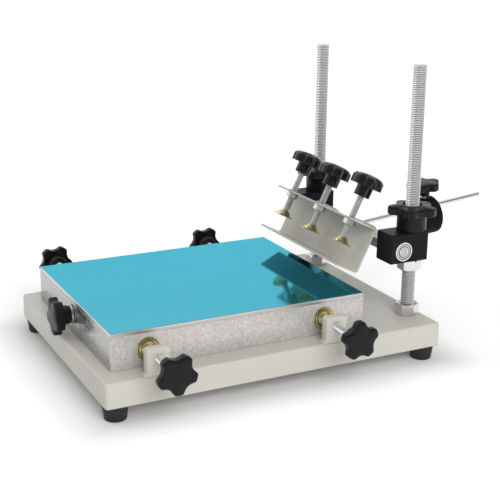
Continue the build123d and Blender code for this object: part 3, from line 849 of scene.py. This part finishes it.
def star_nut(height):
    """A five-lobed hand nut with a deep hub, a through bore and a recess round the post on top."""
    rim, valley = 0.0278, 0.0205
    hub, skirt, bore, recess = 16.8 * MM, 18.3 * MM, 8.05 * MM, 10.8 * MM
    profile = [(bore, 0.4 * MM, 0, 0), (bore + 0.4 * MM, 0, 0, 0), (hub - 0.8 * MM, 0, 0, 0)]
    profile += arc(hub - 0.8 * MM, 0.8 * MM, 0.8 * MM, -70, 0, 0)
    profile += [(hub, skirt - 1.2 * MM, 0, 0), (hub + 0.5 * MM, skirt, 0, 0)]
    profile += [(rim - 2.2 * MM, skirt, 1, hub + 0.5 * MM)]
    profile += arc(rim - 1.4 * MM, skirt + 1.4 * MM, 1.4 * MM, -80, 0, 1, hub + 0.6 * MM)
    profile += arc(rim - 2.6 * MM, height - 4.4 * MM, 2.6 * MM, 0, 76, 1)
    profile += [(rim - 6.0 * MM, height - 1.1 * MM, 1, 0), (rim - 10.0 * MM, height - 0.4 * MM, 0.6, 0)]
    inside = ((recess + 1.2 * MM, 0.0), (recess + 0.3 * MM, 0.2), (recess, 0.6), (recess, 3.0))
    for radius, depth in (*inside, (bore + 0.4 * MM, 3.0), (bore, 3.4)):
        profile.append((radius, height - depth * MM, 0, 0))
    return lobed_mesh(profile, hollowed(rim, valley, 5, pi / 5), rim, closed=True)


def swivel_pad():
    """A pressed cup with a rolled flange, a stepped shoulder and a mouth for the screw's ball."""
    flange = [(0.5, 0.0), (12.3, 0.0), (12.75, 0.2), (12.9, 0.6), (12.75, 1.0), (12.3, 1.2), (11.2, 1.2)]
    grooves = [(10.9, 0.95), (10.3, 0.95), (10.0, 1.25), (9.3, 1.35), (9.1, 1.1), (8.8, 1.2)]
    cup = [(8.6, 1.8), (8.2, 2.9), (7.3, 4.3), (6.4, 5.3), (5.9, 5.9)]
    mouth = [(5.75, 6.6), (5.4, 7.3), (5.0, 7.5), (4.4, 7.5)]
    return lathe(flange + grooves + cup + mouth)


def threaded(radius, pitch, reach, segments):
    """A threaded bar up +Z."""
    depth = pitch * sizes().thread_depth
    mesh = grown(thread_tree(), radius=radius, depth=depth, pitch=pitch, length=reach, segments=segments)
    return crease(mesh, 0.55)


def screw_piece(node, joint_name, radius, pitch, flip=False, segments=28):
    """A threaded bar in the place of a plain one."""
    start, direction, reach = lie(node, joint_name, flip)
    at = axes(start, direction, ALONG_X if abs(direction.x) < 0.5 else UP)
    return stand_in(node, threaded(radius, pitch, reach, segments), threaded_zinc, at, "thread")


def seat(node, joint_name, x_dir, turn=0.0):
    """The frame at a node's start on its screw, turned by degrees about it, and the node's length."""
    start, direction, reach = lie(node, joint_name, flip=True)
    return axes(start, direction, x_dir) @ Matrix.Rotation(radians(turn), 4, "Z"), reach


def nut_set(node, places, flats, height, bore):
    """Hex nuts at several places, as one piece."""
    nut = crease(grown(nut_tree(), flats=flats, height=height, bore=bore), 0.5)
    return stand_in(node, merged([moved(nut, at) for at in places]), zinc)


def post_place(side, z):
    """The frame on the axis of a post, at a height."""
    low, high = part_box(f"hinge_post_{side}")
    return axes(((low.x + high.x) / 2, (low.y + high.y) / 2, z), UP, ALONG_X)


# ------------------------ pieces
class PressStep(bpy.types.Operator):
    """A step of the press"""

    bl_options = {"REGISTER"}

    def execute(self, context):
        self.make(context)
        return {"FINISHED"}


class PRESS_OT_base(PressStep):
    """Folded tray with its welded brackets and rubber feet"""

    bl_idname = "press.base"
    bl_label = "Base and Feet"

    def make(self, context):
        rounded("base_tray", paint)
        rounded("screw_brackets", paint, sizes().sheet_edge)
        keep(zinc, "foot_screws", "foot_nuts")
        foot = lathe([
            (5.3, 6.0), (5.3, 0.6), (5.8, 0.0), (10.6, 0.0), (11.3, 0.3), (11.7, 1.2),
            (13.6, 14.6), (14.0, 16.2), (13.6, 16.95), (12.8, 17.0), (3.0, 17.0), (3.0, 6.0),
        ])
        foot_radius = 0.014
        low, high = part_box("rubber_feet")
        feet = [
            moved(foot, Matrix.Translation((x, y, 0)))
            for x in (low.x + foot_radius, high.x - foot_radius)
            for y in (low.y + foot_radius, high.y - foot_radius)
        ]
        stand_in("rubber_feet", merged(feet), rubber)
        self.weld()

    def weld(self):
        """Beads along three sides of each bracket's foot, a hair over the tray."""
        half_width, thickness, lift, outer_end = 0.0129, 0.010, 0.0002, 0.995
        low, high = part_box("screw_brackets")
        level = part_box("base_tray")[1].z + lift
        radius = sizes().weld_bead
        beads = []
        for name in SIDE_SCREWS:
            y = joint(f"{name}_screw_spin")["pos_m"][1]
            outer = high.x if name.startswith("right") else low.x
            inner = outer - thickness * (1 if outer > 0 else -1)
            near, far = y - half_width, y + half_width
            lines = [((outer * outer_end, edge), (inner, edge)) for edge in (near, far)]
            for start, end in (*lines, ((inner, near), (inner, far))):
                beads.append(grown(weld_tree(), start=(*start, level), end=(*end, level), radius=radius))
        piece("bracket_welds", crease(merged(beads), 1.2), finish(weld_metal), "base", "base_paint")


class PRESS_OT_posts(PressStep):
    """Threaded posts with their nuts and washers"""

    bl_idname = "press.posts"
    bl_label = "Posts"

    def make(self, context):
        for side in SIDES:
            node = f"hinge_post_{side}"
            low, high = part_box(node)
            mesh = threaded((high.x - low.x) / 2, sizes().post_pitch, high.z - low.z, 48)
            stand_in(node, mesh, threaded_zinc, post_place(side, low.z), "thread")
        nuts = [("post_base_nuts", SIDES), ("post_under_nuts", SIDES)]
        for node, sides in (*nuts, *((f"support_nut_{side}", (side,)) for side in SIDES)):
            low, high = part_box(node)
            nut_set(node, [post_place(side, low.z) for side in sides], height=high.z - low.z, **POST_NUT)
        keep(zinc, "post_washers")


class PRESS_OT_platen(PressStep):
    """Galvanised pan, top plate and blue film"""

    bl_idname = "press.platen"
    bl_label = "Platen"

    def make(self, context):
        rounded("platen_pan", galvanised, sizes().sheet_edge)
        rounded("platen_top_plate", plate_edge, 0.0002)
        rounded("protective_film", film)
        keep(turned_steel, "adjuster_block")
        keep(zinc, "adjuster_keeper")


class PRESS_OT_side_adjusters(PressStep):
    """Side screws with their knobs and swivel pads"""

    bl_idname = "press.side_adjusters"
    bl_label = "Side Adjusters"
    turns = {"right_front": 38.5, "right_rear": 2.0, "left_front": 31.5, "left_rear": 34.0}

    def make(self, context):
        pad = swivel_pad()
        for name in SIDE_SCREWS:
            spin = f"{name}_screw_spin"
            screw_piece(f"side_screw_{name}", spin, SCREW_RADIUS, sizes().screw_pitch, flip=True)
            at, reach = seat(f"side_knob_{name}", spin, UP, self.turns[name])
            stand_in(f"side_knob_{name}", star_knob(reach, *KNOB_HUB), knob_plastic, at)
            at, _ = seat(f"side_pad_{name}", spin, UP)
            stand_in(f"side_pad_{name}", pad, yellow_zinc, at)


class PRESS_OT_end_adjuster(PressStep):
    """End screw with its knob, washers and collar"""

    bl_idname = "press.end_adjuster"
    bl_label = "End Adjuster"

    def make(self, context):
        spin, turn = "lengthwise_screw_spin", 36
        screw_piece("lengthwise_screw", spin, SCREW_RADIUS, sizes().screw_pitch)
        at, reach = seat("lengthwise_knob", spin, UP, turn)
        stand_in("lengthwise_knob", star_knob(reach, *KNOB_HUB), knob_plastic, at)
        rounded("lengthwise_washers", zinc, 0.0002)
        rounded("lengthwise_collar", zinc, 0.0)


class PRESS_OT_carriage(PressStep):
    """Hinge blocks, bearings and the lobed hand nuts"""

    bl_idname = "press.carriage"
    bl_label = "Hinge Carriage"
    turns = {"right": 33.0, "left": 20.0}

    def make(self, context):
        for side in SIDES:
            rounded(f"hinge_block_{side}", black_block, sizes().block_edge)
            node = f"star_nut_{side}"
            low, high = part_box(node)
            at = post_place(side, low.z) @ Matrix.Rotation(radians(self.turns[side]), 4, "Z")
            stand_in(node, star_nut(high.z - low.z), knob_plastic, at)
        for node in ("bearing_outer_rings", "bearing_inner_rings"):
            rounded(node, bearing_steel, 0.0002)
        rounded("bearing_shields", shield_steel)
        keep(bearing_steel, "bearing_balls")


class PRESS_OT_clamp(PressStep):
    """Folded clamp channel on its hinge shaft, with plates, nuts and the rod"""

    bl_idname = "press.clamp"
    bl_label = "Frame Clamp"

    def make(self, context):
        rounded("clamp_channel", clamp_coat_painted_shade, 0.0004)
        rounded("hinge_plates", clamp_coat_painted_shade, 0.0004)
        rounded("hinge_shaft", turned_steel, 0.0003)
        rounded("counterweight_rod", zinc, 0.0)
        keep(zinc, "rod_jam_nut")
        node = "clamp_weld_nuts"
        nut_set(node, [seat(node, f"{name}_clamp_screw_spin", ALONG_X)[0] for name in CLAMP_SCREWS], **WELD_NUT)


class PRESS_OT_clamp_screws(PressStep):
    """Clamp screws with their glossy knobs and swivel pads"""

    bl_idname = "press.clamp_screws"
    bl_label = "Clamp Screws"

    def make(self, context):
        pad = swivel_pad()
        for name in CLAMP_SCREWS:
            spin = f"{name}_clamp_screw_spin"
            screw_piece(f"clamp_screw_{name}", spin, SCREW_RADIUS, sizes().screw_pitch, flip=True)
            at, reach = seat(f"clamp_knob_{name}", spin, ALONG_X)
            stand_in(f"clamp_knob_{name}", scalloped_knob(reach), phenolic, at)
            at, _ = seat(f"clamp_pad_{name}", spin, ALONG_X)
            stand_in(f"clamp_pad_{name}", pad, yellow_zinc, at)


class PRESS_OT_counterweight(PressStep):
    """Counterweight with its lock screw and knob"""

    bl_idname = "press.counterweight"
    bl_label = "Counterweight"

    def make(self, context):
        spin = "counterweight_lock_spin"
        rounded("counterweight", black_weight, 0.0003)
        screw_piece("counterweight_lock_screw", spin, LOCK_SCREW_RADIUS, sizes().lock_pitch, flip=True)
        node, raised = "counterweight_lock_knob", 0.002
        start, direction, reach = lie(node, spin, flip=True)
        at = axes(start + direction * raised, direction, ALONG_Y)
        stand_in(node, star_knob(reach + raised, *LOCK_KNOB_HUB), knob_plastic, at)


# ------------------------ studio
class PRESS_OT_stage(PressStep):
    """White sweep, soft lamps and the camera"""

    bl_idname = "press.stage"
    bl_label = "Stage and Camera"

    def make(self, context):
        scene = context.scene
        scene.view_settings.view_transform = "Standard"
        self.floor(scene)
        self.world(scene)
        self.lamp(scene, "key", place=(-1.3, -1.6, 2.3), size=1.6, watts=11.0)
        fill = self.lamp(scene, "fill", place=(2.6, -0.3, 1.6), size=2.0, watts=52.0)
        fill.visible_glossy = False
        self.camera(scene)

    def floor(self, scene):
        """A white floor that glows to the camera and in reflections, less so in a narrow band about the base, a
        painted shadow.
        """
        shadow_reach, sweep_reach, darkest, step = 0.05, 0.9, 0.04, 0.34
        mesh = bpy.data.meshes.new("floor")
        work = bmesh.new()
        bmesh.ops.create_grid(work, x_segments=1, y_segments=1, size=12.0)
        work.to_mesh(mesh)
        work.free()
        f = Finish("White sweep", (0.82, 0.82, 0.82), 0.9, specular_ior_level=0.0)
        rays = f.add("ShaderNodeLightPath", out=None).outputs
        seen = f.math("MAXIMUM", rays["Is Camera Ray"], rays["Is Glossy Ray"])
        f.set("Emission Color", (1.0, 1.0, 1.0, 1.0))
        low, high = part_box("base_tray")
        middle, half = (low + high) / 2, (high - low) / 2
        beside = f.vector("ABSOLUTE", f.vector("SUBTRACT", f.here(), (middle.x, middle.y, 0.0)))
        beside = f.vector("MAXIMUM", f.vector("SUBTRACT", beside, (half.x, half.y, 0.0)), (0.0, 0.0, 0.0))
        away = f.vector("LENGTH", beside, out="Value")
        # Painted shadow: within 5 cm of the base the glow falls to 0.04 at its outline.
        near = f.remap(away, 0.0, shadow_reach, darkest, step)
        glow = f.plus(near, f.remap(away, shadow_reach, sweep_reach, 0.0, step))
        f.set("Emission Strength", f.times(seen, glow))
        mesh.materials.append(f.material)
        floor = bpy.data.objects.new("floor", mesh)
        scene.collection.objects.link(floor)

    def world(self, scene):
        """White all round. Reflections are dimmer behind the camera and at the picture's right."""
        behind_camera, picture_right = (0.862, -0.440, 0.25), (0.455, 0.891, 0.0)
        light_strength, seen_strength = 0.50, 1.0
        world = bpy.data.worlds.new("Studio")
        world.use_nodes = True
        scene.world = world
        g = Graph(world.node_tree)
        background = world.node_tree.nodes["Background"]
        rays = g.add("ShaderNodeLightPath", out=None).outputs
        shown = g.math("MAXIMUM", rays["Is Camera Ray"], rays["Is Glossy Ray"])
        shown = g.math("MAXIMUM", shown, rays["Is Transmission Ray"])
        g.put(background.inputs["Color"], (1.0, 1.0, 1.0, 1.0))
        where = g.add("ShaderNodeTexCoord", out="Generated")
        room = g.vector("DOT_PRODUCT", where, behind_camera, out="Value")
        aside = g.vector("DOT_PRODUCT", where, picture_right, out="Value")
        dim = g.times(g.remap(room, -0.1, 0.7, 1.0, 0.32), g.remap(aside, 0.35, 0.95, 1.0, 0.35))
        taken = g.times(rays["Is Glossy Ray"], g.minus(1.0, dim))
        strength = g.remap(shown, 0.0, 1.0, light_strength, seen_strength)
        g.put(background.inputs["Strength"], g.minus(strength, taken))

    def lamp(self, scene, name, place, size, watts):
        """A round soft lamp that looks at the platen."""
        aim = Vector((0, -0.05, 0.05))
        light = bpy.data.lights.new(name, "AREA")
        light.shape, light.size, light.energy = "DISK", size, watts
        lamp = bpy.data.objects.new(name, light)
        lamp.location = place
        lamp.rotation_euler = (aim - Vector(place)).to_track_quat("-Z", "Y").to_euler()
        scene.collection.objects.link(lamp)
        return lamp

    def camera(self, scene):
        """The photograph's viewpoint: right and front of the press, a little above it."""
        turn, rise, roll = radians(62.943), radians(16.969), radians(0.681)
        place, film_width, focal_length = (1.07576, -0.59373, 0.48354), 36.0, 78.157
        back = Vector((sin(turn) * cos(rise), -cos(turn) * cos(rise), sin(rise)))
        right = Vector((cos(turn), sin(turn), 0))
        up = back.cross(right)
        across, upward = right * cos(roll) + up * sin(roll), up * cos(roll) - right * sin(roll)
        data = bpy.data.cameras.new("camera")
        data.sensor_width, data.lens, data.clip_start = film_width, focal_length, 0.05
        camera = bpy.data.objects.new("camera", data)
        matrix = Matrix((across, upward, back)).transposed().to_4x4()
        matrix.translation = Vector(place)
        camera.matrix_world = matrix
        scene.collection.objects.link(camera)
        scene.camera = camera


STEPS = (
    PRESS_OT_base, PRESS_OT_posts, PRESS_OT_platen, PRESS_OT_side_adjusters, PRESS_OT_end_adjuster,
    PRESS_OT_carriage, PRESS_OT_clamp, PRESS_OT_clamp_screws, PRESS_OT_counterweight, PRESS_OT_stage,
)


class PRESS_PT_panel(bpy.types.Panel):
    """Steps, sizes and colours of the press"""

    bl_idname = "PRESS_PT_panel"
    bl_label = "Screen Printing Press"
    bl_space_type = "VIEW_3D"
    bl_region_type = "UI"
    bl_category = "Press"

    def draw(self, context):
        for step in STEPS:
            self.layout.operator(step.bl_idname)
        for owner in (context.scene.press_sizes, context.scene.press_colours):
            box = self.layout.box()
            for name in owner.bl_rna.properties.keys():
                if name not in ("rna_type", "name"):
                    box.prop(owner, name)


CLASSES = (PressSizes, PressColours, *STEPS, PRESS_PT_panel)


def register():
    for cls in CLASSES:
        bpy.utils.register_class(cls)
    bpy.types.Scene.press_sizes = PointerProperty(type=PressSizes)
    bpy.types.Scene.press_colours = PointerProperty(type=PressColours)


def unregister():
    del bpy.types.Scene.press_colours
    del bpy.types.Scene.press_sizes
    for cls in reversed(CLASSES):
        bpy.utils.unregister_class(cls)


def main():
    register()
    for step in STEPS:
        group_name, operator = step.bl_idname.split(".")
        getattr(getattr(bpy.ops, group_name), operator)()


if __name__ == "__main__":
    main()
